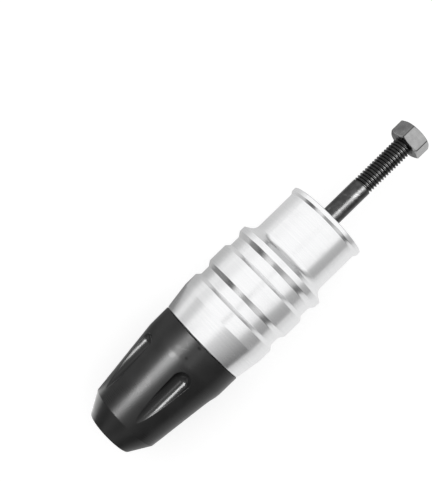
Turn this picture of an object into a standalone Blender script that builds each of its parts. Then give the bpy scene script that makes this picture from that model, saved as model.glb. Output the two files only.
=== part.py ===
"""Motorcycle frame slider: a nylon nose on a turned aluminium body, with a loose bolt, spring washer and nut.

The slider's axis is X. The origin is the middle of the mounting face, which meets the motorcycle's frame.
The nose points along +X, and the bolt comes out of the mounting face along -X, through its nut.
A station is a distance along X from the mounting face. Lengths are in metres.
"""
import math

import bmesh
import bpy
from mathutils import Matrix, Vector

# Outside of the aluminium body, from the mounting face to the nose.
FLANGE_RADIUS = 0.0171
FLANGE_LENGTH = 0.0017
FLANGE_FLANK = 0.0010
FLANGE_EDGE = 0.0008
NECK_RADIUS = 0.0163
NECK_LENGTH = 0.0188
SHOULDER_LENGTH = 0.0024
SHOULDER_FILLET = 0.0035
CREST_RADIUS = 0.0200
RIDGE_LENGTH = 0.00235
GROOVE_RADIUS = 0.01865
FRAME_GROOVE_LENGTH = 0.00425
NOSE_GROOVE_LENGTH = 0.0039
FRAME_SIDE_FLANK = 0.0019
NOSE_SIDE_FLANK = 0.0015
BAND_LENGTH = 0.0081
COLLAR_LENGTH = 0.0055
TAPER_LENGTH = 0.0105
CREST_EDGE = 0.0003

# Where the nose meets the body, and the spigot that it is pressed on.
JOINT_RADIUS = 0.0185
JOINT_EDGE = 0.0003
SPIGOT_RADIUS = 0.0120
SPIGOT_LENGTH = 0.0140
SPIGOT_EDGE = 0.0008

# Nylon nose.
BARREL_LENGTH = 0.0093
BARREL_DRAFT = 0.00005
CONE_LENGTH = 0.0312
CONE_END_RADIUS = 0.01465
TIP_LENGTH = 0.0084
TIP_RADIUS = 0.00985
TIP_EDGE = 0.0009
CONE_EDGE = 0.0008
HEAD_BORE_RADIUS = 0.0070
BORE_EDGE = 0.0005

# Flutes: ball-nose cuts whose floors run parallel to the axis, so that they run out on the cone.
FLUTE_COUNT = 5
FLUTE_RADIUS = 0.0040
FLUTE_FLOOR_RADIUS = 0.0151
FLUTE_START = 0.0109
FLUTE_TURN = math.radians(12.3)

# Bolt: a socket-head cap screw.
BOLT_LENGTH = 0.100
BOLT_REACH = 0.0466
SHANK_RADIUS = 0.00392
THREAD_LENGTH = 0.0287
THREAD_PITCH_RADIUS = 0.0036
THREAD_RUNOUT = 0.0008
TIP_CHAMFER = 0.0007
HEAD_RADIUS = 0.0065
HEAD_HEIGHT = 0.0080
HEAD_EDGE = 0.0005
SOCKET_WIDTH = 0.0060
SOCKET_DEPTH = 0.0040
SOCKET_CONE = 0.0012
BOLT_HOLE_RADIUS = 0.00425

# Spring washer: one turn of square-edged wire, split and sprung open.
WASHER_INNER_RADIUS = 0.00425
WASHER_OUTER_RADIUS = 0.00635
WASHER_THICKNESS = 0.0020
WASHER_RISE = 0.0016
WASHER_SPLIT = math.radians(8.0)

# Nut.
NUT_WIDTH = 0.0130
NUT_HEIGHT = 0.0065
NUT_FACE_SHARE = 0.96
NUT_CHAMFER_ANGLE = math.radians(30.0)
NUT_BORE_RADIUS = 0.0039
NUT_COUNTERSINK = 0.0004
NUT_TURN = math.radians(7.0)

# Clearance between pieces that seat on each other.
SEAT_GAP = 0.0003

# Facets round a turn, steps in a rounded edge and round a ball end, and the most of a side that a rounding takes.
BODY_FACETS = 72
SMALL_FACETS = 40
EDGE_STEPS = 2
FLUTE_FACETS = 24
BALL_STEPS = 6
WASHER_SECTIONS = 48
MOST_OF_SIDE = 0.48
MERGE_DISTANCE = 1e-7
SHARP_ANGLE = math.radians(25.0)

# Stations that other sizes give.
JOINT_STATION = (FLANGE_LENGTH + FLANGE_FLANK + NECK_LENGTH + SHOULDER_LENGTH + RIDGE_LENGTH
                 + 2 * (FRAME_SIDE_FLANK + NOSE_SIDE_FLANK) + FRAME_GROOVE_LENGTH + NOSE_GROOVE_LENGTH
                 + BAND_LENGTH + COLLAR_LENGTH + TAPER_LENGTH)
HEAD_STATION = BOLT_LENGTH - BOLT_REACH
WASHER_STATION = HEAD_STATION - SEAT_GAP - WASHER_THICKNESS - WASHER_RISE
WASHER_SEAT_STATION = WASHER_STATION - SEAT_GAP
NUT_STATION = -BOLT_REACH

# Colour, metallic value and roughness of each material.
FINISHES = {
    "nylon": ((0.022, 0.022, 0.023, 1.0), 0.0, 0.42),
    "aluminium": ((0.80, 0.80, 0.81, 1.0), 1.0, 0.32),
    "black_steel": ((0.035, 0.034, 0.033, 1.0), 0.9, 0.38),
    "spring_steel": ((0.32, 0.32, 0.33, 1.0), 1.0, 0.35),
}


def clear_scene():
    for old in list(bpy.data.objects):
        bpy.data.objects.remove(old, do_unlink=True)


def finish(name):
    """The material of this name, made from its row in FINISHES."""
    color, metallic, roughness = FINISHES[name]
    material = bpy.data.materials.new(name)
    material.use_nodes = True
    shader = material.node_tree.nodes["Principled BSDF"]
    shader.inputs["Base Color"].default_value = color
    shader.inputs["Metallic"].default_value = metallic
    shader.inputs["Roughness"].default_value = roughness
    return material


def fillet(before, corner, after, radius):
    """Points of an arc that rounds a corner. Its ends stay within the nearer half of each side."""
    back = before - corner
    ahead = after - corner
    half_angle = back.angle(ahead) / 2
    most = MOST_OF_SIDE * min(back.length, ahead.length)
    reach = min(radius / math.tan(half_angle), most)
    radius = reach * math.tan(half_angle)
    centre = corner + (back.normalized() + ahead.normalized()).normalized() * radius / math.sin(half_angle)
    start = corner + back.normalized() * reach - centre
    end = corner + ahead.normalized() * reach - centre
    points = []
    for step in range(EDGE_STEPS + 1):
        spoke = start.lerp(end, step / EDGE_STEPS)
        points.append(centre + spoke.normalized() * radius)
    return points


def rounded(corners):
    """The points of an outline from its corners (station, radius) or (station, radius, edge rounding)."""
    points = []
    for i, corner in enumerate(corners):
        here = Vector(corner[:2])
        if len(corner) == 2:
            points.append(here)
            continue
        before = Vector(corners[i - 1][:2])
        after = Vector(corners[(i + 1) % len(corners)][:2])
        points += fillet(before, here, after, corner[2])
    return points


def mesh_from(bm, name):
    bmesh.ops.remove_doubles(bm, verts=bm.verts, dist=MERGE_DISTANCE)
    bmesh.ops.recalc_face_normals(bm, faces=bm.faces)
    mesh = bpy.data.meshes.new(name)
    bm.to_mesh(mesh)
    bm.free()
    mesh.shade_smooth()
    mesh.set_sharp_from_angle(angle=SHARP_ANGLE)
    return mesh


def turned_mesh(name, points, facets, is_ring):
    """A mesh turned about X from points (station, radius). A ring's outline closes on itself."""
    bm = bmesh.new()
    verts = [bm.verts.new((station, 0.0, radius)) for station, radius in points]
    last = len(verts) if is_ring else len(verts) - 1
    edges = [bm.edges.new((verts[i], verts[(i + 1) % len(verts)])) for i in range(last)]
    bmesh.ops.spin(bm, geom=verts + edges, cent=(0.0, 0.0, 0.0), axis=(1.0, 0.0, 0.0),
                   angle=2 * math.pi, steps=facets, use_merge=True)
    return mesh_from(bm, name)


def prism_mesh(name, sides, width, length, point_length=0.0):
    """A prism along +X from the origin, with this width across its flats and one flat facing +Z.

    A point_length over 0 adds a cone on the far end, as a drill leaves at the foot of a hole.
    """
    corner_radius = width / 2 / math.cos(math.pi / sides)
    bm = bmesh.new()
    rings = []
    for station in (0.0, length):
        ring = []
        for side in range(sides):
            angle = 2 * math.pi * (side + 0.5) / sides
            ring.append(bm.verts.new((station, corner_radius * math.sin(angle), corner_radius * math.cos(angle))))
        rings.append(ring)
    bm.faces.new(rings[0])
    for side in range(sides):
        after = (side + 1) % sides
        bm.faces.new((rings[0][side], rings[0][after], rings[1][after], rings[1][side]))
    if point_length:
        point = bm.verts.new((length + point_length, 0.0, 0.0))
        for side in range(sides):
            bm.faces.new((rings[1][side], rings[1][(side + 1) % sides], point))
    else:
        bm.faces.new(rings[1])
    return mesh_from(bm, name)


def placed(mesh, carrier, station=0.0, turn=0.0):
    """An object for a mesh, on its carrier at a station, turned about X from +Z towards +Y."""
    piece = bpy.data.objects.new(mesh.name, mesh)
    bpy.context.collection.objects.link(piece)
    piece.parent = carrier
    piece.location.x = station
    piece.rotation_euler.x = -turn
    return piece


def cutter(mesh, carrier, station=0.0, turn=0.0):
    """A tool that only shapes another piece and isn't part of the slider."""
    tool = placed(mesh, carrier, station, turn)
    tool.hide_render = True
    tool.display_type = "WIRE"
    return tool


def cut(piece, tool, operation="DIFFERENCE"):
    modifier = piece.modifiers.new(tool.name, "BOOLEAN")
    modifier.operation = operation
    modifier.solver = "EXACT"
    modifier.object = tool


def body_outline():
    """The aluminium body's outline: its outside from the spigot to the mounting face, then its holes."""
    spigot_end = JOINT_STATION + SPIGOT_LENGTH
    corners = [
        (spigot_end, SPIGOT_RADIUS - SPIGOT_EDGE),
        (spigot_end - SPIGOT_EDGE, SPIGOT_RADIUS),
        (JOINT_STATION, SPIGOT_RADIUS),
        (JOINT_STATION, JOINT_RADIUS, JOINT_EDGE),
    ]
    station = JOINT_STATION - TAPER_LENGTH
    corners.append((station, CREST_RADIUS))
    for crest, groove in ((COLLAR_LENGTH, NOSE_GROOVE_LENGTH), (BAND_LENGTH, FRAME_GROOVE_LENGTH)):
        station -= crest
        corners.append((station, CREST_RADIUS, CREST_EDGE))
        station -= NOSE_SIDE_FLANK
        corners.append((station, GROOVE_RADIUS))
        station -= groove
        corners.append((station, GROOVE_RADIUS))
        station -= FRAME_SIDE_FLANK
        corners.append((station, CREST_RADIUS, CREST_EDGE))
    station -= RIDGE_LENGTH
    corners.append((station, CREST_RADIUS, CREST_EDGE))
    station -= SHOULDER_LENGTH
    corners.append((station, NECK_RADIUS, SHOULDER_FILLET))
    corners += [
        (FLANGE_LENGTH + FLANGE_FLANK, NECK_RADIUS),
        (FLANGE_LENGTH, FLANGE_RADIUS),
        (0.0, FLANGE_RADIUS, FLANGE_EDGE),
        (0.0, BOLT_HOLE_RADIUS + BORE_EDGE),
        (BORE_EDGE, BOLT_HOLE_RADIUS),
        (WASHER_SEAT_STATION, BOLT_HOLE_RADIUS),
        (WASHER_SEAT_STATION, HEAD_BORE_RADIUS),
        (spigot_end - BORE_EDGE, HEAD_BORE_RADIUS),
        (spigot_end, HEAD_BORE_RADIUS + BORE_EDGE),
    ]
    return rounded(corners)


def nose_outline():
    """The nylon nose's outline: its outside from the tip to the joint, then the spigot's seat and the bore."""
    rear = JOINT_STATION + SEAT_GAP
    barrel_end = JOINT_STATION + BARREL_LENGTH
    cone_end = barrel_end + CONE_LENGTH
    front = cone_end + TIP_LENGTH
    seat_end = JOINT_STATION + SPIGOT_LENGTH + SEAT_GAP
    return rounded([
        (front, TIP_RADIUS, TIP_EDGE),
        (cone_end, CONE_END_RADIUS, CONE_EDGE),
        (barrel_end, JOINT_RADIUS - BARREL_DRAFT, CONE_EDGE),
        (rear, JOINT_RADIUS, JOINT_EDGE),
        (rear, SPIGOT_RADIUS + SEAT_GAP),
        (seat_end, SPIGOT_RADIUS + SEAT_GAP),
        (seat_end, HEAD_BORE_RADIUS),
        (front - BORE_EDGE, HEAD_BORE_RADIUS),
        (front, HEAD_BORE_RADIUS + BORE_EDGE),
    ])


def flute_outline():
    """The ball-nose tool's outline, from its far end to the round end that cuts the flute's deep end."""
    points = [Vector((CONE_LENGTH, 0.0)), Vector((CONE_LENGTH, FLUTE_RADIUS))]
    for step in range(BALL_STEPS + 1):
        angle = math.pi / 2 * (1 + step / BALL_STEPS)
        points.append(Vector((FLUTE_RADIUS * math.cos(angle), FLUTE_RADIUS * math.sin(angle))))
    return points


def bolt_outline():
    """The bolt's outline, with stations counted from the seat under its head."""
    thread_start = THREAD_LENGTH - BOLT_LENGTH
    return rounded([
        (HEAD_HEIGHT, 0.0),
        (HEAD_HEIGHT, HEAD_RADIUS, HEAD_EDGE),
        (0.0, HEAD_RADIUS),
        (0.0, SHANK_RADIUS),
        (thread_start, SHANK_RADIUS),
        (thread_start - THREAD_RUNOUT, THREAD_PITCH_RADIUS),
        (TIP_CHAMFER - BOLT_LENGTH, THREAD_PITCH_RADIUS),
        (-BOLT_LENGTH, THREAD_PITCH_RADIUS - TIP_CHAMFER),
        (-BOLT_LENGTH, 0.0),
    ])


def nut_outline():
    """The round blank that a nut's hexagon is turned to: both faces chamfered, and a countersunk bore."""
    face_radius = NUT_FACE_SHARE * NUT_WIDTH / 2
    corner_radius = NUT_WIDTH / math.sqrt(3) + SEAT_GAP
    chamfer = (corner_radius - face_radius) * math.tan(NUT_CHAMFER_ANGLE)
    return rounded([
        (NUT_HEIGHT, face_radius),
        (NUT_HEIGHT - chamfer, corner_radius),
        (chamfer, corner_radius),
        (0.0, face_radius),
        (0.0, NUT_BORE_RADIUS + NUT_COUNTERSINK),
        (NUT_COUNTERSINK, NUT_BORE_RADIUS),
        (NUT_HEIGHT - NUT_COUNTERSINK, NUT_BORE_RADIUS),
        (NUT_HEIGHT, NUT_BORE_RADIUS + NUT_COUNTERSINK),
    ])


def washer_mesh(name):
    """A split ring whose one end has sprung up from the other, with its length from 0 along +X."""
    bm = bmesh.new()
    section = [(0.0, WASHER_INNER_RADIUS), (0.0, WASHER_OUTER_RADIUS),
               (WASHER_THICKNESS, WASHER_OUTER_RADIUS), (WASHER_THICKNESS, WASHER_INNER_RADIUS)]
    rings = []
    for step in range(WASHER_SECTIONS + 1):
        share = step / WASHER_SECTIONS
        turn = Matrix.Rotation(WASHER_SPLIT / 2 + share * (2 * math.pi - WASHER_SPLIT), 3, "X")
        lift = Vector((share * WASHER_RISE, 0.0, 0.0))
        rings.append([bm.verts.new(turn @ Vector((x, 0.0, radius)) + lift) for x, radius in section])
    for ring, following in zip(rings, rings[1:]):
        for i in range(len(section)):
            j = (i + 1) % len(section)
            bm.faces.new((ring[i], ring[j], following[j], following[i]))
    bm.faces.new(rings[0])
    bm.faces.new(rings[-1])
    return mesh_from(bm, name)


def make_body(axis):
    mesh = turned_mesh("body", body_outline(), BODY_FACETS, is_ring=True)
    mesh.materials.append(finish("aluminium"))
    placed(mesh, axis)


def make_nose(axis):
    """The nose, with a ring of flutes milled along its cone."""
    mesh = turned_mesh("nose", nose_outline(), BODY_FACETS, is_ring=True)
    mesh.materials.append(finish("nylon"))
    nose = placed(mesh, axis)
    tool_mesh = turned_mesh("flute_tool", flute_outline(), FLUTE_FACETS, is_ring=False)
    for index in range(FLUTE_COUNT):
        turn = FLUTE_TURN + 2 * math.pi * index / FLUTE_COUNT
        tool = cutter(tool_mesh, axis, JOINT_STATION + FLUTE_START + FLUTE_RADIUS, turn)
        height = FLUTE_FLOOR_RADIUS + FLUTE_RADIUS
        tool.location.y = height * math.sin(turn)
        tool.location.z = height * math.cos(turn)
        cut(nose, tool)


def make_bolt(axis):
    mesh = turned_mesh("bolt", bolt_outline(), SMALL_FACETS, is_ring=False)
    mesh.materials.append(finish("black_steel"))
    bolt = placed(mesh, axis, HEAD_STATION)
    tool_mesh = prism_mesh("hex_key_tool", 6, SOCKET_WIDTH, SOCKET_DEPTH + SEAT_GAP, SOCKET_CONE)
    tool = cutter(tool_mesh, bolt, HEAD_HEIGHT + SEAT_GAP)
    tool.rotation_euler.z = math.pi
    cut(bolt, tool)


def make_washer(axis):
    mesh = washer_mesh("spring_washer")
    mesh.materials.append(finish("spring_steel"))
    placed(mesh, axis, WASHER_STATION)


def make_nut(axis):
    """The nut: a hexagon prism kept only where its chamfered round blank is."""
    mesh = prism_mesh("nut", 6, NUT_WIDTH, NUT_HEIGHT)
    mesh.materials.append(finish("black_steel"))
    nut = placed(mesh, axis, NUT_STATION, NUT_TURN)
    blank = turned_mesh("nut_blank", nut_outline(), SMALL_FACETS, is_ring=True)
    cut(nut, cutter(blank, nut), "INTERSECT")


def main():
    clear_scene()
    axis = bpy.data.objects.new("slider_axis", None)
    bpy.context.collection.objects.link(axis)
    make_body(axis)
    make_nose(axis)
    make_washer(axis)
    make_bolt(axis)
    make_nut(axis)


main()
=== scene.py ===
"""Looks of the frame slider: fine solids, materials, light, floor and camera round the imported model.

The slider's axis is X, with the origin in the middle of the mounting face and the nose towards +X.
A station is a distance along X. Turns are measured about the axis from +Z towards +Y. Lengths are in metres.
"""
import bisect
import math

import bmesh
import bpy
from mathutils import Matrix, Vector


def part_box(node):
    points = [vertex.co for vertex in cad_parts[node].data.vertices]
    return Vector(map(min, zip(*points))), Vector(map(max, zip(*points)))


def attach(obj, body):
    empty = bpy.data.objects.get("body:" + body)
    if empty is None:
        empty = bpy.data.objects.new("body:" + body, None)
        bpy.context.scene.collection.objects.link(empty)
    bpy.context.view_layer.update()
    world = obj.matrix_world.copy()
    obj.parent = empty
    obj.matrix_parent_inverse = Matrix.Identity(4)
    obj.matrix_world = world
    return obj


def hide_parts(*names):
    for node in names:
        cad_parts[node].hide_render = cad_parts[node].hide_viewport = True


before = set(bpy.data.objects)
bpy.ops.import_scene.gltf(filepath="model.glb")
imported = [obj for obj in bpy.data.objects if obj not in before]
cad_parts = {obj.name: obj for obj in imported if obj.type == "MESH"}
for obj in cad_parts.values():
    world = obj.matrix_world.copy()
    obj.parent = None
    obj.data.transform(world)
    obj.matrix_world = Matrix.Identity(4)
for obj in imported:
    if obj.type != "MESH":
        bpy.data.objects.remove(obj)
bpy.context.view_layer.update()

# Aluminium body, from the mounting face to the nose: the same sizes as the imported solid.
FLANGE_RADIUS = 0.0171
FLANGE_LENGTH = 0.0017
FLANGE_FLANK = 0.0010
FLANGE_EDGE = 0.0003
NECK_RADIUS = 0.0163
SHOULDER_LENGTH = 0.0024
SHOULDER_FILLET = 0.0035
CREST_RADIUS = 0.0200
RIDGE_LENGTH = 0.00235
GROOVE_RADIUS = 0.01865
FRAME_GROOVE_LENGTH = 0.00425
NOSE_GROOVE_LENGTH = 0.0039
FRAME_SIDE_FLANK = 0.0019
NOSE_SIDE_FLANK = 0.0015
GROOVE_CORNER = 0.0004
BAND_LENGTH = 0.0081
COLLAR_LENGTH = 0.0055
TAPER_LENGTH = 0.0105
TAPER_BLEND = 0.0015
CREST_EDGE = 0.0003
JOINT_RADIUS = 0.0185
JOINT_EDGE = 0.0003
SPIGOT_RADIUS = 0.0120
SPIGOT_LENGTH = 0.0140
SPIGOT_EDGE = 0.0008
BOLT_HOLE_RADIUS = 0.00425
HEAD_BORE_RADIUS = 0.0070
BORE_EDGE = 0.0005
SEAT_GAP = 0.0003
JOINT_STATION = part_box("nose")[0][0] - SEAT_GAP
WASHER_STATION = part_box("spring_washer")[0][0]
WASHER_SEAT_STATION = WASHER_STATION - SEAT_GAP

# Nylon nose and its flutes.
BARREL_LENGTH = 0.0093
BARREL_DRAFT = 0.00005
BARREL_BLEND = 0.0125
CONE_LENGTH = 0.0312
CONE_END_RADIUS = 0.01465
CONE_EDGE = 0.0008
TIP_LENGTH = 0.0084
TIP_RADIUS = 0.00985
TIP_EDGE = 0.0009
FLUTE_COUNT = 5
FLUTE_RADIUS = 0.0040
FLUTE_FLOOR_RADIUS = 0.0151
FLUTE_START = 0.0109
FLUTE_TURN = math.radians(12.3)
FLUTE_EDGE = 0.00012
FLUTE_SECTOR = 2 * math.pi / FLUTE_COUNT

# Bolt, washer and nut.
HEAD_RADIUS = 0.0065
HEAD_HEIGHT = 0.0080
HEAD_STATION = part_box("bolt")[1][0] - HEAD_HEIGHT
HEAD_EDGE = 0.0005
KNURL_COUNT = 48
KNURL_DEPTH = 0.00020
KNURL_GAP = 1.4 * HEAD_EDGE
HEXAGON_SIDES = 6
SIXTH_TURN = math.pi / 3
SOCKET_WIDTH = 0.0060
SOCKET_DEPTH = 0.0040
SOCKET_CONE = 0.0012
SOCKET_CHAMFER = 0.0003
SHANK_RADIUS = 0.00392
BOLT_LENGTH = 0.100
THREAD_LENGTH = 0.0287
THREAD_RUNOUT = 0.0004
PITCH = 0.00125
THREAD_CREST = 0.00397
THREAD_ROOT = 0.00323
THREAD_CREST_HALF = PITCH / 16
THREAD_HALF_ANGLE = math.radians(30.0)
TIP_FACE_RADIUS = 0.0031
NUT_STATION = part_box("nut")[0][0]
NUT_WIDTH = 0.0130
NUT_HEIGHT = 0.0065
NUT_FACE_SHARE = 0.96
NUT_CHAMFER_ANGLE = math.radians(30.0)
NUT_TURN = math.radians(7.0)
NUT_CORNER = 0.0006
NUT_COUNTERSINK = 0.0010
NUT_EDGE = 0.00015
NUT_CREST = 0.00334
THREAD_CLEARANCE = 0.00006
WASHER_INNER_RADIUS = 0.00425
WASHER_OUTER_RADIUS = 0.00635
WASHER_THICKNESS = 0.0020
WASHER_RISE = 0.0016
WASHER_SPLIT = math.radians(8.0)
WASHER_EDGE = 0.00015

# Fineness of the meshes.
BODY_COLUMNS = 240
LAND_COLUMNS = 48
FLUTE_STEPS = 10
FLUTE_STATIONS = 26
BALL_SECTIONS = 9
HEAD_COLUMNS = 192
THREAD_COLUMNS = 36
ROWS_A_PITCH = 36
SHANK_ROWS = 4
NUT_FLAT_STEPS = 8
WASHER_SECTIONS = 144
EDGE_STEPS = 4
MOST_OF_SIDE = 0.48
MERGE_DISTANCE = 1e-7
SAME_STATION = 1e-5
SEARCH_STEPS = 50
HIGHEST_TILT = math.radians(30.0)
SHARP_ANGLE = math.radians(40.0)

# Wear on the upper side: station, sideways, half length, half width, lean and strength of each mark.
SHANK_MARKS = (
    (-0.0031, -0.00276, 0.0009, 0.0005, 0.0, 0.30),
    (-0.0052, 0.00000, 0.0004, 0.0011, 0.0, 0.12),
    (-0.0109, -0.00240, 0.0005, 0.0010, 0.3, 0.15),
    (-0.0122, -0.00020, 0.0004, 0.0012, 0.4, 0.18),
    (-0.0131, 0.00050, 0.0003, 0.0011, 0.5, 0.35),
    (-0.0140, 0.00070, 0.0004, 0.0014, 0.6, 0.30),
    (-0.0155, 0.00040, 0.0005, 0.0009, 0.3, 0.15),
    (-0.0169, 0.00070, 0.0004, 0.0006, 0.0, 0.12),
)
NUT_MARKS = (
    (-0.0445, 0.00550, 0.0010, 0.0004, 0.0, 0.15),
    (-0.0422, 0.00020, 0.0007, 0.0007, 0.3, 0.12),
)
NYLON_SCUFFS = (
    (0.0755, -0.00545, 0.0013, 0.0016, 0.2, 0.14),
    (0.0719, -0.00600, 0.0010, 0.0013, 0.3, 0.12),
    (0.0707, -0.00350, 0.0003, 0.0018, 0.7, 0.20),
    (0.0689, -0.00420, 0.0003, 0.0015, -0.6, 0.16),
    (0.0726, -0.00100, 0.0007, 0.0008, 0.0, -0.25),
    (0.0669, -0.00020, 0.0007, 0.0010, 0.0, -0.30),
)

# Finishes. Rings have a number a metre and a seed, and clouds and grains a number a metre and a detail.
# Here and below, a ramp is (low, high), which runs from 0 to 1, or (low, high, value at low, value at high).
RING_SLANT = 1.7
RING_DETAIL = 3.0
CLOUD_TONES = (0.35, 0.7)
CLOUD_ROUGHNESS = (0.3, 0.7)
ALUMINIUM_DARK = (0.875, 0.878, 0.885, 1.0)
ALUMINIUM_LIGHT = (0.90, 0.90, 0.905, 1.0)
ALUMINIUM_TONES = (0.35, 0.65)
ALUMINIUM_FINE_RINGS = (9000.0, 3.1)
ALUMINIUM_WIDE_RINGS = (1500.0, 8.7)
ALUMINIUM_CLOUDS = (180.0, 3.0)
ALUMINIUM_ROUGHNESS = (0.3, 0.7, 0.17, 0.23)
ALUMINIUM_DULL_CLOUDS = (0.4, 0.7, 0.0, 0.05)
ALUMINIUM_BUMP = (0.2, 0.000004)
NYLON_GREYS = (0.007, 0.010)
NYLON_RINGS = (5200.0, 1.3)
NYLON_GRAIN = (2600.0, 2.0)
NYLON_GRAIN_SHARE = 0.6
NYLON_CLOUDS = (120.0, 3.0)
NYLON_ROUGHNESS = (0.3, 0.7, 0.28, 0.33)
NYLON_RING_ROUGHNESS = (0.3, 0.7, -0.02, 0.02)
NYLON_GLOSS = (0.0, 1.0, 0.5, 0.62)
NYLON_IOR = 1.36
NYLON_BUMP = (0.35, 0.000006)
MILLED_DEPTH = (0.0003, 0.0006)
MILLED_END = (-0.0020, -0.0015)
MILLED_SMOOTHER = 0.1
STEEL_CLOUDS = (420.0, 5.0)
STEEL_GRAIN = (3500.0, 2.0)
STEEL_BUMP = (0.3, 0.000005)
STEEL_CLOUD_ROUGHNESS = 0.08
RUBBED_GREY = 0.24
# Painted shade: a dark grey painted along the nut's rounded corners, for the dark room that they reflect.
PAINTED_CORNER_SHADE_GREY = 0.06
PAINTED_CORNER_SHADE_BAND = (math.radians(27.0), math.radians(29.2), 0.0, 0.9)
MARK_FADE = (0.1, 1.0)
UPPER_SIDE = (0.0, 0.0005)

# Each steel piece's dark grey, light grey and roughness.
BOLT_STEEL = (0.055, 0.085, 0.24)
WASHER_STEEL = (0.28, 0.36, 0.3)
NUT_STEEL = (0.36, 0.43, 0.2)

# Room that the metal sees, in degrees: sideways from straight up towards +Y, and ahead towards +X.
ROOM_WHITE = 1.075
FAR_EDGE = (-8.0, 20.0, 58.0, 4.0)
FAR_EDGE_BLUR = (-7.0, 7.0)
FAR_GREY = (0.0, 40.0, 0.44, 0.34)
FAR_BEHIND = (-6.0, 0.0, 0.08, 0.0)
FAR_FADING = (-5.0, 75.0, 0.78, 0.14)
FAR_CHANGE = (4.0, 14.0)
LEFT_START = (-92.0, -84.0)
LEFT_END = (-68.0, -50.0, 1.0, 0.0)
LEFT_GREY = (-5.0, 2.0, 0.0, 0.30)
TOP_LINE_OFFSET = 3.0
TOP_LINE_WIDTH = (2.0, 6.5, 1.0, 0.0)
TOP_LINE_START = (-4.0, -1.5, 0.0, 0.36)
TOP_LINE_END = (2.0, 6.0, 1.0, 0.0)
UNLIT_AHEAD = (20.0, 27.0, 0.0, 0.85)
UNLIT_SIDEWAYS = (-45.0, -28.0, 1.0, 0.0)
LOW_AHEAD = (2.0, 4.5, 0.0, 0.12)
LOW_SIDEWAYS = (-72.0, -58.0, 1.0, 0.0)
WINDOW_START = (-70.0, -60.0)
WINDOW_END = (-28.0, -20.0, 1.0, 0.0)
WINDOW_LIGHT = 0.8
FRONT_LIGHT = (-24.0, -12.0, 0.1, 0.32)
FRONT_LIGHTER = (15.0, 48.0, 0.0, 0.42)
FRONT_DARKER = (68.0, 80.0, 0.0, 0.62)
FRONT_CHANGE = (36.0, 50.0)
BEHIND_LIGHT = (-60.0, -42.0, 0.55, 1.0)

# Floor, and how the metal sees it, in metres along X or Y.
FLOOR_HEIGHT = -0.0200
FLOOR_HALF = 3.0
FLOOR_GREY = 0.45
FLOOR_GLOW = 0.70
FAR_FLOOR = (0.05, 0.18, 0.88, 0.74)
NOSE_END = (0.02, 0.12, 1.0, 0.18)
NOSE_END_SLOPES = (0.5, -2.0)
NOSE_END_STEP = (0.0, 0.03, 0.0, 0.06)
NUT_END = (-0.12, -0.02, 0.65, 1.0)
PAST_NUT = (-0.050, -0.035, 0.6, 0.0)
PAST_NUT_REACH = (-0.22, -0.15)
UNDER_NUT = (-0.030, -0.020, 0.65, 0.0)
UNDER_NUT_START = (-0.060, -0.045)
UNDER_NUT_WIDTH = (0.012, 0.020, 1.0, 0.0)
SHADED_SIDE = (-0.02, 0.02, 1.0, 0.0)
SHADE_ACROSS = (-0.17, -0.03, 0.0, 0.45)
SHADE_ALONG = (0.0, 0.05, 0.5, 1.0)
WEDGE_POINT = (0.043, -0.013)
WEDGE_LEAST = 0.001
WEDGE_START = (0.25, 0.50, 0.0, 0.72)
WEDGE_END = (1.4, 2.1, 1.0, 0.0)
BESIDE_NOSE = (0.070, 0.084, 0.0, 0.72)
BESIDE_NOSE_START = (-0.050, -0.035, 1.0, 0.0)
BESIDE_NOSE_REACH = (-0.11, -0.07)

# Softboxes: name, place, target, size, power in watts, and the piece that each lights.
SOFTBOXES = (
    ("left_softbox", (0.28, -0.39, 0.70), (0.08, 0.0, 0.0), (0.31, 0.32), 8.0, "nose"),
    ("top_softbox", (0.13, 0.14, 0.70), (0.07, 0.0, 0.0), (0.10, 0.25), 0.22, "nose"),
    ("tip_softbox", (0.131, -0.036, -0.0185), (0.131, -0.036, 0.1), (0.040, 0.050), 0.013, "nose"),
    ("right_softbox", (-0.14, 0.255, 0.596), (0.0, 0.0, 0.0), (0.14, 0.64), 4.2, "bolt"),
)

# Photograph's frame and the camera over it.
IMAGE_HEIGHT = 482
FOCAL_PIXELS = 932.9
SENSOR = 36.0
CAMERA_PLACE = (0.04734, -0.0220, 0.350)
CAMERA_TURN = math.radians(135.7)
CAMERA_SHIFT = (0.04164, 0.05260)
CAMERA_CLIP = (0.01, 20.0)


def even_turns(count):
    """Turns spread evenly round the axis."""
    return [2 * math.pi * i / count for i in range(count)]


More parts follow.
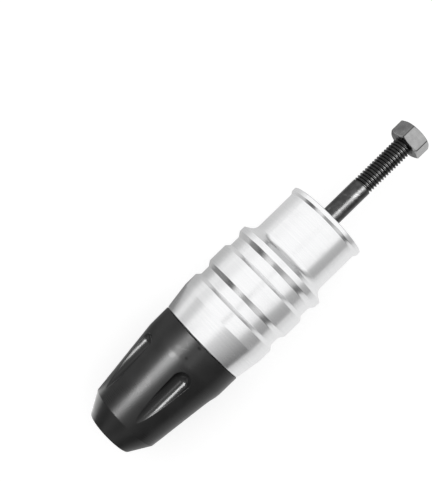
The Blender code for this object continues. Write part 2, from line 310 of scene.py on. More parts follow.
class Shell:
    """Points and faces of one piece, built ring by ring round the axis."""

    def __init__(self):
        self.points = []
        self.faces = []

    def point(self, station, radius, turn):
        self.points.append((station, radius * math.sin(turn), radius * math.cos(turn)))
        return len(self.points) - 1

    def circle(self, station, radius, columns):
        return [self.point(station, radius, turn) for turn in even_turns(columns)]

    def bridge(self, first, second):
        """Quads between two rings with as many points each."""
        count = len(first)
        for i in range(count):
            j = (i + 1) % count
            self.faces.append((first[i], first[j], second[j], second[i]))

    def strip(self, first, second):
        """Quads between two lines with as many points each."""
        for i in range(len(first) - 1):
            self.faces.append((first[i], first[i + 1], second[i + 1], second[i]))

    def bridge_split(self, first, second):
        """Triangles between two rings, split so that their edges follow a right-handed thread."""
        count = len(first)
        for i in range(count):
            j = (i + 1) % count
            self.faces.append((first[i], first[j], second[j]))
            self.faces.append((first[i], second[j], second[i]))

    def turn_of(self, index):
        """The turn of a point, from 0 to a full turn."""
        _, y, z = self.points[index]
        return math.atan2(y, z) % (2 * math.pi)

    def zip_rings(self, first, second):
        """Triangles between two rings round the axis whose numbers of points differ."""
        first = sorted(first, key=self.turn_of)
        second = sorted(second, key=self.turn_of)
        i = j = 0
        while i < len(first) or j < len(second):
            next_first = self.turn_of(first[i]) if i < len(first) else math.inf
            next_second = self.turn_of(second[j]) if j < len(second) else math.inf
            if next_first <= next_second:
                self.faces.append((first[i - 1], first[i], second[j - 1]))
                i += 1
            else:
                self.faces.append((first[i - 1], second[j], second[j - 1]))
                j += 1

    def fan(self, ring, station):
        """Closes a ring with triangles to a point on the axis."""
        centre = self.point(station, 0.0, 0.0)
        for i in range(len(ring)):
            self.faces.append((ring[i], ring[(i + 1) % len(ring)], centre))

    def join_all(self, lines, join):
        """Joins each ring or line to the next, by one of the ways above."""
        for first, second in zip(lines, lines[1:]):
            join(first, second)

    def near_top(self, station, sideways, height, turn):
        """A point given near +Z, turned about the axis."""
        c, s = math.cos(turn), math.sin(turn)
        self.points.append((station, sideways * c + height * s, height * c - sideways * s))
        return len(self.points) - 1


def fillet(before, corner, after, radius):
    """Points of an arc that rounds a corner. Its ends stay within the nearer half of each side."""
    back = before - corner
    ahead = after - corner
    half_angle = back.angle(ahead) / 2
    most = MOST_OF_SIDE * min(back.length, ahead.length)
    reach = min(radius / math.tan(half_angle), most)
    radius = reach * math.tan(half_angle)
    centre = corner + (back.normalized() + ahead.normalized()).normalized() * radius / math.sin(half_angle)
    start = corner + back.normalized() * reach - centre
    end = corner + ahead.normalized() * reach - centre
    points = []
    for step in range(EDGE_STEPS + 1):
        spoke = start.lerp(end, step / EDGE_STEPS)
        points.append(centre + spoke.normalized() * radius)
    return points


def rounded(corners):
    """The points of an outline from its corners (station, radius) or (station, radius, edge rounding)."""
    points = []
    for i, corner in enumerate(corners):
        here = Vector(corner[:2])
        if len(corner) == 2:
            points.append(here)
            continue
        before = Vector(corners[i - 1][:2])
        after = Vector(corners[(i + 1) % len(corners)][:2])
        points += fillet(before, here, after, corner[2])
    return points


def clean_mesh(shell, name):
    """A mesh of the shell with its doubled points merged, its faces out and its sharp edges marked."""
    mesh = bpy.data.meshes.new(name)
    mesh.from_pydata(shell.points, [], shell.faces)
    bm = bmesh.new()
    bm.from_mesh(mesh)
    bmesh.ops.remove_doubles(bm, verts=bm.verts, dist=MERGE_DISTANCE)
    bmesh.ops.recalc_face_normals(bm, faces=bm.faces)
    bm.to_mesh(mesh)
    bm.free()
    mesh.shade_smooth()
    mesh.set_sharp_from_angle(angle=SHARP_ANGLE)
    return mesh


def piece_from(shell, name, body, node, material):
    """The finished object of a shell: it rides on its body and stands for its CAD node."""
    mesh = clean_mesh(shell, name)
    mesh.materials.append(material)
    piece = bpy.data.objects.new(name, mesh)
    bpy.context.scene.collection.objects.link(piece)
    even = piece.modifiers.new("even_shading", "WEIGHTED_NORMAL")
    even.keep_sharp = True
    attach(piece, body)
    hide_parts(node)
    return piece


def body_outline():
    """The aluminium body's closed outline, with its tool-rounded corners."""
    spigot_end = JOINT_STATION + SPIGOT_LENGTH
    corners = [
        (spigot_end, SPIGOT_RADIUS - SPIGOT_EDGE),
        (spigot_end - SPIGOT_EDGE, SPIGOT_RADIUS),
        (JOINT_STATION, SPIGOT_RADIUS),
        (JOINT_STATION, JOINT_RADIUS, JOINT_EDGE),
    ]
    station = JOINT_STATION - TAPER_LENGTH
    corners.append((station, CREST_RADIUS, TAPER_BLEND))
    for crest, groove in ((COLLAR_LENGTH, NOSE_GROOVE_LENGTH), (BAND_LENGTH, FRAME_GROOVE_LENGTH)):
        station -= crest
        corners.append((station, CREST_RADIUS, CREST_EDGE))
        station -= NOSE_SIDE_FLANK
        corners.append((station, GROOVE_RADIUS, GROOVE_CORNER))
        station -= groove
        corners.append((station, GROOVE_RADIUS, GROOVE_CORNER))
        station -= FRAME_SIDE_FLANK
        corners.append((station, CREST_RADIUS, CREST_EDGE))
    station -= RIDGE_LENGTH
    corners.append((station, CREST_RADIUS, CREST_EDGE))
    station -= SHOULDER_LENGTH
    corners.append((station, NECK_RADIUS, SHOULDER_FILLET))
    corners += [
        (FLANGE_LENGTH + FLANGE_FLANK, NECK_RADIUS, CREST_EDGE),
        (FLANGE_LENGTH, FLANGE_RADIUS, CREST_EDGE),
        (0.0, FLANGE_RADIUS, FLANGE_EDGE),
        (0.0, BOLT_HOLE_RADIUS + BORE_EDGE),
        (BORE_EDGE, BOLT_HOLE_RADIUS),
        (WASHER_SEAT_STATION, BOLT_HOLE_RADIUS),
        (WASHER_SEAT_STATION, HEAD_BORE_RADIUS),
        (spigot_end - BORE_EDGE, HEAD_BORE_RADIUS),
        (spigot_end, HEAD_BORE_RADIUS + BORE_EDGE),
    ]
    return rounded(corners)


def make_body(material):
    """The body: a closed outline, turned round the axis."""
    shell = Shell()
    rings = [shell.circle(station, radius, BODY_COLUMNS) for station, radius in body_outline()]
    shell.join_all(rings, shell.bridge)
    shell.bridge(rings[-1], rings[0])
    return piece_from(shell, "body_turned", "slider", "body", material)


def nose_profile():
    """The nose's outside as stations and radii, from the joint to the front face, and that face's station."""
    rear = JOINT_STATION + SEAT_GAP
    barrel_end = JOINT_STATION + BARREL_LENGTH
    cone_end = barrel_end + CONE_LENGTH
    front = cone_end + TIP_LENGTH
    corners = [
        (rear, SPIGOT_RADIUS + SEAT_GAP),
        (rear, JOINT_RADIUS, JOINT_EDGE),
        (barrel_end, JOINT_RADIUS - BARREL_DRAFT, BARREL_BLEND),
        (cone_end, CONE_END_RADIUS, CONE_EDGE),
        (front, TIP_RADIUS, TIP_EDGE),
        (front, HEAD_BORE_RADIUS + BORE_EDGE),
        (front - BORE_EDGE, HEAD_BORE_RADIUS),
    ]
    return rounded(corners)[:-2], front


def radius_at(profile, station):
    """The radius of an outline at a station, by straight lines between its points."""
    stations = [p[0] for p in profile]
    i = min(max(bisect.bisect_right(stations, station), 1), len(profile) - 1)
    before, after = profile[i - 1], profile[i]
    share = (station - before[0]) / (after[0] - before[0])
    return before[1] + share * (after[1] - before[1])


def last_that_holds(test, low, high):
    """Where a test that holds at low stops holding on the way to high, found by halving."""
    for _ in range(SEARCH_STEPS):
        middle = (low + high) / 2
        if test(middle):
            low = middle
        else:
            high = middle
    return low


def flute_section(profile, station, heading):
    """One side of a flute's cross-section, from its rounded edge down to its floor.

    The section goes out from the line down the middle of the tool at this station. A heading of 0 runs
    towards the joint, and a quarter turn runs across. Points are (station, sideways, height over the axis).
    """
    height = FLUTE_FLOOR_RADIUS + FLUTE_RADIUS

    def from_tool(distance, tilt):
        """The point in the section at this distance and tilt from the tool's middle. A tilt of 0 is level."""
        out = distance * math.cos(tilt)
        sideways = out * math.sin(heading)
        return Vector((station - out * math.cos(heading), sideways, height + distance * math.sin(tilt)))

    def rounding_fits(tilt):
        centre = from_tool(FLUTE_RADIUS + FLUTE_EDGE, tilt)
        return radius_at(profile, centre.x) - math.hypot(centre.y, centre.z) > FLUTE_EDGE

    floor = -math.pi / 2
    tilt = last_that_holds(rounding_fits, floor, HIGHEST_TILT)
    centre = from_tool(FLUTE_RADIUS + FLUTE_EDGE, tilt)
    outwards = Vector((0.0, centre.y, centre.z)).normalized()
    surface = Vector((centre.x, 0.0, 0.0)) + outwards * radius_at(profile, centre.x)
    touching = from_tool(FLUTE_RADIUS, tilt)
    points = [surface]
    for step in range(1, EDGE_STEPS + 1):
        spoke = (surface - centre).lerp(touching - centre, step / EDGE_STEPS)
        points.append(centre + spoke.normalized() * FLUTE_EDGE)
    for step in range(1, FLUTE_STEPS + 1):
        points.append(from_tool(FLUTE_RADIUS, tilt + (floor - tilt) * step / FLUTE_STEPS))
    return points


def flute_sections(profile):
    """The sections round a flute's ball end and along its straight part, and the station of its point."""
    ball_station = JOINT_STATION + FLUTE_START + FLUTE_RADIUS
    cone_end = JOINT_STATION + BARREL_LENGTH + CONE_LENGTH

    def over_the_floor(station):
        return radius_at(profile, station) > FLUTE_FLOOR_RADIUS

    end = last_that_holds(over_the_floor, ball_station, cone_end)
    sections = []
    for i in range(BALL_SECTIONS + 1):
        sections.append(flute_section(profile, ball_station, math.pi / 2 * i / BALL_SECTIONS))
    for i in range(1, FLUTE_STATIONS):
        share = 1 - i / (FLUTE_STATIONS + 1)
        station = end - (end - ball_station) * share * share
        sections.append(flute_section(profile, station, math.pi / 2))
    return sections, end


def nose_rings(profile, front, edges):
    """The lands' rings, out over the nose and back through its bore to the first one.

    A ring is its station, its radius and the turn from a flute's middle to its edge.
    """
    rings = [(p[0], p[1], 0.0) for p in profile if p[0] < edges[0].x - SAME_STATION]
    rings += [(edge.x, math.hypot(edge.y, edge.z), math.atan2(edge.y, edge.z)) for edge in edges]
    rings += [(p[0], p[1], 0.0) for p in profile if p[0] > edges[-1].x + SAME_STATION]
    seat_end = JOINT_STATION + SPIGOT_LENGTH + SEAT_GAP
    bore = [
        (front, HEAD_BORE_RADIUS + BORE_EDGE),
        (front - BORE_EDGE, HEAD_BORE_RADIUS),
        (seat_end, HEAD_BORE_RADIUS),
        (seat_end, SPIGOT_RADIUS + SEAT_GAP),
    ]
    rings += [(station, radius, 0.0) for station, radius in bore]
    return rings + [rings[0]]


def add_land(shell, rings, middle):
    """The plain surface from the flute at this turn to the next one."""
    lines = []
    for station, radius, half in rings:
        step = (FLUTE_SECTOR - 2 * half) / LAND_COLUMNS
        turns = [middle + half + step * i for i in range(LAND_COLUMNS + 1)]
        lines.append([shell.point(station, radius, turn) for turn in turns])
    shell.join_all(lines, shell.strip)


def add_flute(shell, sections, pole, middle):
    """Both sides of the flute at this turn, closed at the point where it runs out."""
    for side in (1, -1):
        lines = [[shell.near_top(p.x, p.y * side, p.z, middle) for p in section] for section in sections]
        shell.join_all(lines, shell.strip)
        point = shell.near_top(pole.x, 0.0, pole.z, middle)
        last = lines[-1]
        for i in range(len(last) - 1):
            shell.faces.append((last[i], last[i + 1], point))


def make_nose(material):
    """The nose: plain lands between flutes, which share the points of the flutes' edges."""
    profile, front = nose_profile()
    sections, end = flute_sections(profile)
    pole = Vector((end, 0.0, radius_at(profile, end)))
    edges = [section[0] for section in sections] + [pole]
    rings = nose_rings(profile, front, edges)
    shell = Shell()
    for index in range(FLUTE_COUNT):
        middle = FLUTE_TURN + index * FLUTE_SECTOR
        add_land(shell, rings, middle)
        add_flute(shell, sections, pole, middle)
    return piece_from(shell, "nose_fluted", "slider", "nose", material)


def thread_height(station, turn):
    """How far up from root to crest the right-handed thread is, from 0 to 1. The nut's is in step with it."""
    phase = (station - NUT_STATION) / PITCH + turn / (2 * math.pi)
    away = abs(phase - round(phase)) * PITCH
    flank = (THREAD_CREST - THREAD_ROOT) * math.tan(THREAD_HALF_ANGLE)
    height = 1 - (away - THREAD_CREST_HALF) / flank
    return min(max(height, 0.0), 1.0)


def bolt_thread_radius(station, turn, start, tip):
    """The bolt's radius in its thread: it runs out towards the shank and is chamfered at the tip."""
    radius = THREAD_ROOT + (THREAD_CREST - THREAD_ROOT) * thread_height(station, turn)
    share = min((start - station) / THREAD_RUNOUT, 1.0)
    radius = SHANK_RADIUS + (radius - SHANK_RADIUS) * share * share * (3 - 2 * share)
    return min(radius, TIP_FACE_RADIUS + station - tip)


def hexagon_radius(turn, width):
    """The distance to the side of a hexagon with a flat that faces +Z."""
    off = (turn + SIXTH_TURN / 2) % SIXTH_TURN - SIXTH_TURN / 2
    return width / 2 / math.cos(off)


def head_outline():
    """The head's outside as stations, radii and knurl depths, from its top to its underside."""
    top = HEAD_STATION + HEAD_HEIGHT
    corner = [
        Vector((top, HEAD_RADIUS - 2 * HEAD_EDGE)),
        Vector((top, HEAD_RADIUS)),
        Vector((HEAD_STATION, HEAD_RADIUS)),
    ]
    outline = [(p.x, p.y, 0.0) for p in fillet(*corner, HEAD_EDGE)]
    knurl_top = top - KNURL_GAP
    knurl_foot = HEAD_STATION + HEAD_EDGE
    outline += [
        (knurl_top, HEAD_RADIUS, 0.0),
        (knurl_top - KNURL_DEPTH, HEAD_RADIUS, KNURL_DEPTH),
        (knurl_foot + KNURL_DEPTH, HEAD_RADIUS, KNURL_DEPTH),
        (knurl_foot, HEAD_RADIUS, 0.0),
        (HEAD_STATION + KNURL_DEPTH, HEAD_RADIUS, 0.0),
        (HEAD_STATION, HEAD_RADIUS - KNURL_DEPTH, 0.0),
    ]
    return outline


def add_socket(shell):
    """The hex socket from its coned foot to its chamfered mouth. Gives the mouth's outer ring."""
    top = HEAD_STATION + HEAD_HEIGHT
    turns = even_turns(THREAD_COLUMNS)
    floor = [shell.point(top - SOCKET_DEPTH, hexagon_radius(t, SOCKET_WIDTH), t) for t in turns]
    mouth = [shell.point(top - SOCKET_CHAMFER, hexagon_radius(t, SOCKET_WIDTH), t) for t in turns]
    entry = shell.circle(top, SOCKET_WIDTH / math.sqrt(3) + SOCKET_CHAMFER, THREAD_COLUMNS)
    shell.fan(floor, top - SOCKET_DEPTH - SOCKET_CONE)
    shell.join_all([floor, mouth, entry], shell.bridge)
    return entry


def add_head(shell):
    """The cap head from its socket, over the knurl, to its underside. Gives the last ring."""
    entry = add_socket(shell)
    across = HEAD_COLUMNS // KNURL_COUNT
    rings = []
    for station, radius, depth in head_outline():
        ring = []
        for i, turn in enumerate(even_turns(HEAD_COLUMNS)):
            groove = 1 - abs((i % across) / across * 2 - 1)
            ring.append(shell.point(station, radius - depth * groove, turn))
        rings.append(ring)
    shell.zip_rings(entry, rings[0])
    shell.join_all(rings, shell.bridge)
    return rings[-1]


def add_bolt_thread(shell, shank_end):
    """The threaded end as rings from the shank's last one to the tip, split along the thread's own lines."""
    tip = HEAD_STATION - BOLT_LENGTH
    start = tip + THREAD_LENGTH
    turns = even_turns(THREAD_COLUMNS)
    rings = [shank_end]
    for row in range(1, round(THREAD_LENGTH / PITCH * ROWS_A_PITCH) + 1):
        station = max(start - row * PITCH / ROWS_A_PITCH, tip)
        radii = [bolt_thread_radius(station, turn, start, tip) for turn in turns]
        rings.append([shell.point(station, radius, turn) for radius, turn in zip(radii, turns)])
    shell.join_all(rings, shell.bridge_split)
    shell.fan(rings[-1], tip)


def make_bolt(material):
    """The bolt: a socket head, a plain shank and a threaded end."""
    shell = Shell()
    underside = add_head(shell)
    thread_start = HEAD_STATION - BOLT_LENGTH + THREAD_LENGTH
    rings = []
    for row in range(SHANK_ROWS + 1):
        station = HEAD_STATION + (thread_start - HEAD_STATION) * row / SHANK_ROWS
        rings.append(shell.circle(station, SHANK_RADIUS, THREAD_COLUMNS))
    shell.zip_rings(underside, rings[0])
    shell.join_all(rings, shell.bridge)
    add_bolt_thread(shell, rings[-1])
    return piece_from(shell, "bolt_threaded", "bolt", "bolt", material)


def hexagon_columns():
    """Turn and radius of the points round the nut's rounded hexagon."""
    corner_radius = NUT_WIDTH / math.sqrt(3)
    corners = []
    for side in range(HEXAGON_SIDES):
        turn = NUT_TURN + SIXTH_TURN * (side - 0.5)
        corners.append(Vector((corner_radius * math.cos(turn), corner_radius * math.sin(turn))))
    arcs = []
    for side in range(HEXAGON_SIDES):
        following = corners[(side + 1) % HEXAGON_SIDES]
        arcs.append(fillet(corners[side - 1], corners[side], following, NUT_CORNER))
    points = []
    for side, arc in enumerate(arcs):
        following = arcs[(side + 1) % HEXAGON_SIDES]
        points += arc
        for step in range(1, NUT_FLAT_STEPS):
            points.append(arc[-1].lerp(following[0], step / NUT_FLAT_STEPS))
    return [(math.atan2(p.y, p.x), p.length) for p in points]


def nut_thread_radius(station, turn):
    """Radius in the nut's bore: the bolt's thread with clearance, cut off and countersunk at the faces."""
    crest = THREAD_ROOT + (THREAD_CREST - THREAD_ROOT) * thread_height(station, turn) + THREAD_CLEARANCE
    from_face = min(station - NUT_STATION, NUT_STATION + NUT_HEIGHT - station)
    return max(crest, NUT_CREST, THREAD_CREST + NUT_COUNTERSINK / 2 - from_face)


def nut_bore_rings(shell):
    """The rings of the nut's thread, from the face towards the body to the outer one."""
    rows = round(NUT_HEIGHT / PITCH * ROWS_A_PITCH)
    turns = even_turns(THREAD_COLUMNS)
    rings = []
    for row in range(rows + 1):
        station = NUT_STATION + NUT_HEIGHT * (1 - row / rows)
        rings.append([shell.point(station, nut_thread_radius(station, turn), turn) for turn in turns])
    return rings


def nut_wall_rings(shell):
    """The rings of the nut's walls between its chamfered faces, in the same order."""
    face_radius = NUT_FACE_SHARE * NUT_WIDTH / 2
    inner, outer = NUT_STATION + NUT_HEIGHT, NUT_STATION
    columns = []
    for turn, radius in hexagon_columns():
        slope = (radius - face_radius) * math.tan(NUT_CHAMFER_ANGLE)
        line = [
            Vector((inner, face_radius)),
            Vector((inner - slope, radius)),
            Vector((outer + slope, radius)),
            Vector((outer, face_radius)),
        ]
        points = [line[0]] + fillet(*line[:3], NUT_EDGE) + fillet(*line[1:], NUT_EDGE) + [line[3]]
        columns.append([shell.point(p.x, p.y, turn) for p in points])
    return [list(ring) for ring in zip(*columns)]


def make_nut(material):
    """The nut: hexagon walls under two chamfered faces, and its thread."""
    shell = Shell()
    bore = nut_bore_rings(shell)
    walls = nut_wall_rings(shell)
    shell.join_all(bore, shell.bridge_split)
    shell.join_all(walls, shell.bridge)
    shell.zip_rings(bore[0], walls[0])
    shell.zip_rings(bore[-1], walls[-1])
    return piece_from(shell, "nut_threaded", "nut", "nut", material)


def make_washer(material):
    """One turn of square wire with eased edges, cut through and sprung open."""
    corners = [
        Vector((0.0, WASHER_INNER_RADIUS)),
        Vector((0.0, WASHER_OUTER_RADIUS)),
        Vector((WASHER_THICKNESS, WASHER_OUTER_RADIUS)),
        Vector((WASHER_THICKNESS, WASHER_INNER_RADIUS)),
    ]
    section = []
    for i, corner in enumerate(corners):
        section += fillet(corners[i - 1], corner, corners[(i + 1) % len(corners)], WASHER_EDGE)
    shell = Shell()
    rings = []
    for step in range(WASHER_SECTIONS + 1):
        share = step / WASHER_SECTIONS
        turn = -(WASHER_SPLIT / 2 + share * (2 * math.pi - WASHER_SPLIT))
        lift = WASHER_STATION + share * WASHER_RISE
        rings.append([shell.point(p.x + lift, p.y, turn) for p in section])
    shell.join_all(rings, shell.bridge)
    shell.faces.append(tuple(rings[0]))
    shell.faces.append(tuple(rings[-1]))
    return piece_from(shell, "spring_washer_split", "washer", "spring_washer", material)


class Nodes:
    """Adds nodes to a tree and links them. A value is a number, a colour or another node's output."""

    def __init__(self, tree):
        self.tree = tree

    def fill(self, node, sockets):
        """Sets or links the named or numbered sockets of a node."""
        for key, value in sockets.items():
            if isinstance(value, bpy.types.NodeSocket):
                self.tree.links.new(value, node.inputs[key])
            else:
                node.inputs[key].default_value = value

    def add(self, kind, sockets=None, **settings):
        """A node with its settings and sockets."""
        node = self.tree.nodes.new(kind)
        for key, value in settings.items():
            setattr(node, key, value)
        self.fill(node, sockets or {})
        return node

    def math(self, operation, *values):
        return self.add("ShaderNodeMath", dict(enumerate(values)), operation=operation).outputs[0]

    def plus(self, first, second):
        return self.math("ADD", first, second)

    def minus(self, first, second):
        return self.math("SUBTRACT", first, second)

    def most(self, first, second):
        return self.math("MAXIMUM", first, second)

    def times(self, first, *others):
        """The product of two or more values."""
        for other in others:
            first = self.math("MULTIPLY", first, other)
        return first

    def ramp(self, value, low, high, to_low=0.0, to_high=1.0, smooth=True):
        """A number taken from one range to another, and kept inside it."""
        sockets = {"Value": value, "From Min": low, "From Max": high, "To Min": to_low, "To Max": to_high}
        kind = "SMOOTHSTEP" if smooth else "LINEAR"
        return self.add("ShaderNodeMapRange", sockets, interpolation_type=kind, clamp=True).outputs[0]

    def mix(self, share, first, second):
        """The first value where the share is 0, and the second where it is 1."""
        return self.add("ShaderNodeMix", {0: share, 6: first, 7: second}, data_type="RGBA").outputs[2]

    def bump(self, height, strength, distance):
        sockets = {"Height": height, "Strength": strength, "Distance": distance}
        return self.add("ShaderNodeBump", sockets).outputs[0]

    def place(self):
        """The station, the sideways place and the height of a point on a piece at rest."""
        point = self.add("ShaderNodeTexCoord").outputs["Object"]
        return self.add("ShaderNodeSeparateXYZ", {0: point}).outputs

    def from_axis(self, y, z):
        """The distance from the slider's axis."""
        return self.math("SQRT", self.plus(self.times(y, y), self.times(z, z)))


def grey(value):
    return (value, value, value, 1.0)


def new_material(name):
    """A material with its nodes and its shader."""
    material = bpy.data.materials.new(name)
    material.use_nodes = True
    shader = material.node_tree.nodes["Principled BSDF"]
    return material, Nodes(material.node_tree), shader


def turning_lines(nodes, count, seed):
    """Noise in rings round the axis, as a lathe leaves: it depends on the station and the radius alone."""
    station, y, z = nodes.place()
    along = nodes.plus(station, nodes.times(nodes.from_axis(y, z), RING_SLANT))
    sockets = {"W": nodes.plus(nodes.times(along, count), seed), "Scale": 1.0, "Detail": RING_DETAIL}
    return nodes.add("ShaderNodeTexNoise", sockets, noise_dimensions="1D").outputs["Fac"]


def blotches(nodes, scale, detail):
    """Noise in the solid, for clouds and grains."""
    place = nodes.add("ShaderNodeTexCoord").outputs["Object"]
    return nodes.add("ShaderNodeTexNoise", {"Vector": place, "Scale": scale, "Detail": detail}).outputs["Fac"]


def flute_mask(nodes):
    """1 in the flutes, where the surface lies nearer to the axis than the cone does, and 0 elsewhere."""
    station, y, z = nodes.place()
    start = JOINT_STATION + BARREL_LENGTH
    end = start + CONE_LENGTH
    cone = nodes.ramp(station, start, end, JOINT_RADIUS, CONE_END_RADIUS, smooth=False)
    depth = nodes.minus(cone, nodes.from_axis(y, z))
    fade_start, fade_end = MILLED_END
    on_cone = nodes.ramp(station, end + fade_start, end + fade_end, 1.0, 0.0)
    return nodes.times(nodes.ramp(depth, *MILLED_DEPTH), on_cone)


def aluminium():
    """Turned aluminium, satin and almost white, with fine rings round the axis."""
    material, nodes, shader = new_material("turned_aluminium")
    fine = turning_lines(nodes, *ALUMINIUM_FINE_RINGS)
    wide = turning_lines(nodes, *ALUMINIUM_WIDE_RINGS)
    cloud = blotches(nodes, *ALUMINIUM_CLOUDS)
    rough = nodes.plus(nodes.ramp(fine, *ALUMINIUM_ROUGHNESS), nodes.ramp(cloud, *ALUMINIUM_DULL_CLOUDS))
    nodes.fill(shader, {
        "Base Color": nodes.mix(nodes.ramp(wide, *ALUMINIUM_TONES), ALUMINIUM_DARK, ALUMINIUM_LIGHT),
        "Roughness": rough,
        "Metallic": 1.0,
        "Normal": nodes.bump(fine, *ALUMINIUM_BUMP),
    })
    return material


def nylon():
    """Black satin nylon with faint turning lines and a fine grain, a little glossier in the milled flutes."""
    material, nodes, shader = new_material("black_nylon")
    lines = turning_lines(nodes, *NYLON_RINGS)
    grain = blotches(nodes, *NYLON_GRAIN)
    cloud = blotches(nodes, *NYLON_CLOUDS)
    milled = flute_mask(nodes)
    dark, light = NYLON_GREYS
    rough = nodes.plus(nodes.ramp(cloud, *NYLON_ROUGHNESS), nodes.ramp(lines, *NYLON_RING_ROUGHNESS))
    height = nodes.plus(lines, nodes.times(grain, NYLON_GRAIN_SHARE))
    nodes.fill(shader, {
        "Base Color": nodes.mix(nodes.ramp(cloud, *CLOUD_TONES), grey(dark), grey(light)),
        "Roughness": nodes.minus(rough, nodes.times(milled, MILLED_SMOOTHER)),
        "Specular IOR Level": nodes.plus(nodes.ramp(milled, *NYLON_GLOSS), wear_marks(nodes, NYLON_SCUFFS)),
        "IOR": NYLON_IOR,
        "Normal": nodes.bump(height, *NYLON_BUMP),
    })
    return material


def wear_marks(nodes, marks):
    """Small spots on the upper side, each with a soft edge, added up."""
    x, y, z = nodes.place()
    total = 0.0
    for station, sideways, length, width, lean, strength in marks:
        across = nodes.minus(y, sideways)
        along = nodes.plus(nodes.minus(x, station), nodes.times(across, lean))
        across = nodes.math("DIVIDE", across, width)
        along = nodes.math("DIVIDE", along, length)
        off = nodes.plus(nodes.times(across, across), nodes.times(along, along))
        total = nodes.plus(total, nodes.ramp(off, *MARK_FADE, strength, 0.0))
    return nodes.times(total, nodes.ramp(z, *UPPER_SIDE))


def painted_corner_shade(nodes):
    """Near 1 along the nut's corners and 0 on its flats. It places the painted shade that stands in for the
    dark room mirrored in the rounded corners.
    """
    _, y, z = nodes.place()
    turn = nodes.minus(nodes.math("ARCTAN2", y, z), NUT_TURN)
    folded = nodes.math("FLOORED_MODULO", nodes.plus(turn, SIXTH_TURN / 2), SIXTH_TURN)
    off = nodes.math("ABSOLUTE", nodes.minus(folded, SIXTH_TURN / 2))
    return nodes.ramp(off, *PAINTED_CORNER_SHADE_BAND)


def steel(name, dark, light, roughness, marks=(), hexagon=False):
    """Steel mottled between two greys, rubbed bright at its marks, and with painted shade, a painted dark
    reflection, on a hexagon's corners.
    """
    material, nodes, shader = new_material(name)
    cloud = blotches(nodes, *STEEL_CLOUDS)
    grain = blotches(nodes, *STEEL_GRAIN)
    tone = nodes.mix(nodes.ramp(cloud, *CLOUD_TONES), grey(dark), grey(light))
    if marks:
        tone = nodes.mix(wear_marks(nodes, marks), tone, grey(RUBBED_GREY))
    # Painted shade: the nut's corners are painted dark, as a painted reflection of the dark room.
    if hexagon:
        tone = nodes.mix(painted_corner_shade(nodes), tone, grey(PAINTED_CORNER_SHADE_GREY))
    low, high = CLOUD_ROUGHNESS
    nodes.fill(shader, {
        "Base Color": tone,
        "Roughness": nodes.ramp(cloud, low, high, roughness, roughness + STEEL_CLOUD_ROUGHNESS),
        "Metallic": 1.0,
        "Normal": nodes.bump(grain, *STEEL_BUMP),
    })
    return material


def near_room(nodes, sideways, ahead):
    """The room's near side: white, with a grey strip low on the left, a grey line above and unlit parts."""
    left = nodes.times(nodes.ramp(sideways, *LEFT_START), nodes.ramp(sideways, *LEFT_END),
                       nodes.ramp(ahead, *LEFT_GREY))
    from_line = nodes.math("ABSOLUTE", nodes.plus(sideways, TOP_LINE_OFFSET))
    line = nodes.times(nodes.ramp(from_line, *TOP_LINE_WIDTH), nodes.ramp(ahead, *TOP_LINE_START),
                       nodes.ramp(ahead, *TOP_LINE_END))
    unlit = nodes.times(nodes.ramp(ahead, *UNLIT_AHEAD), nodes.ramp(sideways, *UNLIT_SIDEWAYS))
    low = nodes.times(nodes.ramp(ahead, *LOW_AHEAD), nodes.ramp(sideways, *LOW_SIDEWAYS))
    white = nodes.minus(nodes.minus(ROOM_WHITE, left), line)
    return nodes.times(white, nodes.minus(1.0, unlit), nodes.minus(1.0, low))


def far_room(nodes, past, ahead):
    """The room's far side: grey, and ahead it fades with the angle past the edge."""
    dark = nodes.plus(nodes.ramp(past, *FAR_GREY), nodes.ramp(ahead, *FAR_BEHIND))
    fading = nodes.ramp(past, *FAR_FADING, smooth=False)
    return nodes.mix(nodes.ramp(ahead, *FAR_CHANGE), dark, fading)


def front_room(nodes, sideways):
    """The room's front wall, dark with a window on the left and a lighter part on the right."""
    window = nodes.times(nodes.ramp(sideways, *WINDOW_START), nodes.ramp(sideways, *WINDOW_END))
    light = nodes.plus(nodes.ramp(sideways, *FRONT_LIGHT), nodes.ramp(sideways, *FRONT_LIGHTER))
    light = nodes.minus(light, nodes.ramp(sideways, *FRONT_DARKER))
    return nodes.plus(light, nodes.times(window, WINDOW_LIGHT))


def room_light(nodes):
    """How bright the room is in each direction: near, far, front and behind parts with soft edges."""
    direction = nodes.add("ShaderNodeTexCoord").outputs["Generated"]
    x, y, z = nodes.add("ShaderNodeSeparateXYZ", {0: direction}).outputs
    sideways = nodes.times(nodes.math("ARCTAN2", y, z), 180 / math.pi)
    ahead = nodes.times(nodes.math("ARCSINE", x), 180 / math.pi)
    past = nodes.minus(sideways, nodes.ramp(ahead, *FAR_EDGE))
    near = near_room(nodes, sideways, ahead)
    room = nodes.mix(nodes.ramp(past, *FAR_EDGE_BLUR), near, far_room(nodes, past, ahead))
    room = nodes.mix(nodes.ramp(ahead, *FRONT_CHANGE), room, front_room(nodes, sideways))
    return nodes.times(room, nodes.ramp(ahead, *BEHIND_LIGHT))


def make_world():
    """White where the camera sees it, and the room's light for everything else."""
    world = bpy.data.worlds.new("studio")
    bpy.context.scene.world = world
    world.use_nodes = True
    world.node_tree.nodes.clear()
    nodes = Nodes(world.node_tree)
    room = nodes.add("ShaderNodeBackground", {"Color": grey(1.0), "Strength": room_light(nodes)})
    white = nodes.add("ShaderNodeBackground", {"Color": grey(1.0), "Strength": 1.0})
    is_camera = nodes.add("ShaderNodeLightPath").outputs["Is Camera Ray"]
    mixed = nodes.add("ShaderNodeMixShader", {0: is_camera, 1: room.outputs[0], 2: white.outputs[0]})
    nodes.add("ShaderNodeOutputWorld", {"Surface": mixed.outputs[0]})


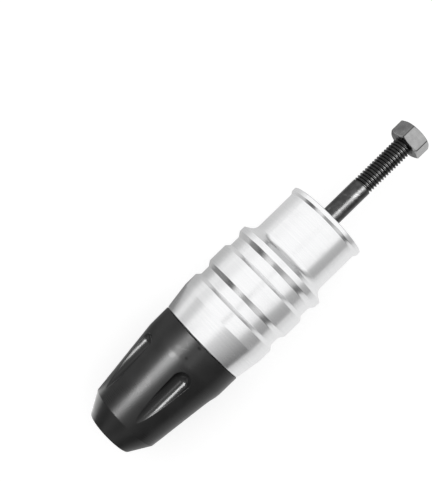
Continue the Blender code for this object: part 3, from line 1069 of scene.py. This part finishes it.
def light_at_ends(nodes, x, y):
    """How bright the metal sees the floor past the nose and past the nut."""
    across = nodes.math("ABSOLUTE", y)
    right_slope, left_slope = NOSE_END_SLOPES
    right = nodes.plus(nodes.times(y, right_slope), nodes.ramp(y, *NOSE_END_STEP))
    past_nose = nodes.minus(x, nodes.most(right, nodes.times(y, left_slope)))
    light = nodes.times(nodes.ramp(past_nose, *NOSE_END), nodes.ramp(nodes.plus(x, across), *NUT_END))
    past_nut = nodes.times(nodes.ramp(x, *PAST_NUT), nodes.ramp(y, *SHADED_SIDE),
                           nodes.ramp(y, *PAST_NUT_REACH))
    under_nut = nodes.times(nodes.ramp(x, *UNDER_NUT_START), nodes.ramp(x, *UNDER_NUT),
                            nodes.ramp(across, *UNDER_NUT_WIDTH))
    return nodes.times(light, nodes.minus(1.0, nodes.most(past_nut, under_nut)))


def shade_at_side(nodes, x, y):
    """How dark the metal sees the floor towards -Y: a wide shade, a wedge and a part beside the nose."""
    shade = nodes.times(nodes.ramp(y, *SHADE_ACROSS), nodes.ramp(x, *SHADE_ALONG))
    wedge_x, wedge_y = WEDGE_POINT
    along = nodes.most(nodes.minus(x, wedge_x), WEDGE_LEAST)
    slant = nodes.math("DIVIDE", nodes.minus(wedge_y, y), along)
    wedge = nodes.times(nodes.ramp(slant, *WEDGE_START), nodes.ramp(slant, *WEDGE_END))
    beside_nose = nodes.times(nodes.ramp(x, *BESIDE_NOSE), nodes.ramp(y, *BESIDE_NOSE_START),
                              nodes.ramp(y, *BESIDE_NOSE_REACH))
    darkest = nodes.most(nodes.most(shade, wedge), beside_nose)
    return nodes.times(darkest, nodes.ramp(y, *SHADED_SIDE))


def floor_material():
    """A sheet that is a matte floor with some glow to the camera, and a pale shaded one in the metal."""
    material, nodes, shader = new_material("floor")
    nodes.tree.nodes.remove(shader)
    path = nodes.add("ShaderNodeLightPath").outputs
    mirrored = nodes.most(path["Is Glossy Ray"], path["Is Transmission Ray"])
    point = nodes.add("ShaderNodeNewGeometry").outputs["Position"]
    x, y, _ = nodes.add("ShaderNodeSeparateXYZ", {0: point}).outputs
    lit = nodes.minus(1.0, shade_at_side(nodes, x, y))
    in_metal = nodes.times(lit, light_at_ends(nodes, x, y), nodes.ramp(y, *FAR_FLOOR))
    glow = nodes.times(path["Is Camera Ray"], FLOOR_GLOW)
    matte = nodes.add("ShaderNodeBsdfDiffuse", {"Color": grey(FLOOR_GREY)})
    glow = nodes.add("ShaderNodeEmission", {"Color": grey(1.0), "Strength": glow})
    sheet = nodes.add("ShaderNodeEmission", {"Color": grey(1.0), "Strength": in_metal})
    floor = nodes.add("ShaderNodeAddShader", {0: matte.outputs[0], 1: glow.outputs[0]})
    both = nodes.add("ShaderNodeMixShader", {0: mirrored, 1: floor.outputs[0], 2: sheet.outputs[0]})
    nodes.fill(nodes.tree.nodes["Material Output"], {"Surface": both.outputs[0]})
    return material


def make_floor():
    """A floor that keeps the slider's shadow and looks white."""
    mesh = bpy.data.meshes.new("floor")
    sides = ((-1, -1), (1, -1), (1, 1), (-1, 1))
    corners = [(x * FLOOR_HALF, y * FLOOR_HALF, FLOOR_HEIGHT) for x, y in sides]
    mesh.from_pydata(corners, [], [(0, 1, 2, 3)])
    mesh.materials.append(floor_material())
    floor = bpy.data.objects.new("floor", mesh)
    bpy.context.scene.collection.objects.link(floor)


def make_softbox(name, place, target, size, power, piece):
    """A softbox that lights only this piece, as flags beside it would keep it off the others."""
    lamp = bpy.data.lights.new(name, "AREA")
    lamp.shape = "RECTANGLE"
    lamp.size, lamp.size_y = size
    lamp.energy = power
    box = bpy.data.objects.new(name, lamp)
    bpy.context.scene.collection.objects.link(box)
    box.location = place
    box.rotation_euler = (Vector(target) - Vector(place)).to_track_quat("-Z", "Y").to_euler()
    box.visible_camera = False
    lit = bpy.data.collections.new(name + "_pieces")
    lit.objects.link(piece)
    box.light_linking.receiver_collection = lit


def make_camera():
    """A camera that looks straight down, turned and shifted to the photograph's frame."""
    data = bpy.data.cameras.new("camera")
    data.sensor_width = SENSOR
    data.lens = FOCAL_PIXELS * SENSOR / IMAGE_HEIGHT
    data.shift_x, data.shift_y = CAMERA_SHIFT
    data.clip_start, data.clip_end = CAMERA_CLIP
    camera = bpy.data.objects.new("camera", data)
    bpy.context.scene.collection.objects.link(camera)
    camera.location = CAMERA_PLACE
    camera.rotation_euler = (0.0, 0.0, CAMERA_TURN)
    bpy.context.scene.camera = camera


def main():
    """The scene in its order: camera, world, floor, pieces and lamps."""
    bpy.context.scene.view_settings.view_transform = "Standard"
    make_camera()
    make_world()
    make_floor()
    make_body(aluminium())
    pieces = {
        "nose": make_nose(nylon()),
        "bolt": make_bolt(steel("black_oxide", *BOLT_STEEL, SHANK_MARKS)),
    }
    make_washer(steel("spring_steel", *WASHER_STEEL))
    make_nut(steel("nut_oxide_and_corner_shade", *NUT_STEEL, NUT_MARKS, hexagon=True))
    for *settings, piece in SOFTBOXES:
        make_softbox(*settings, pieces[piece])


main()
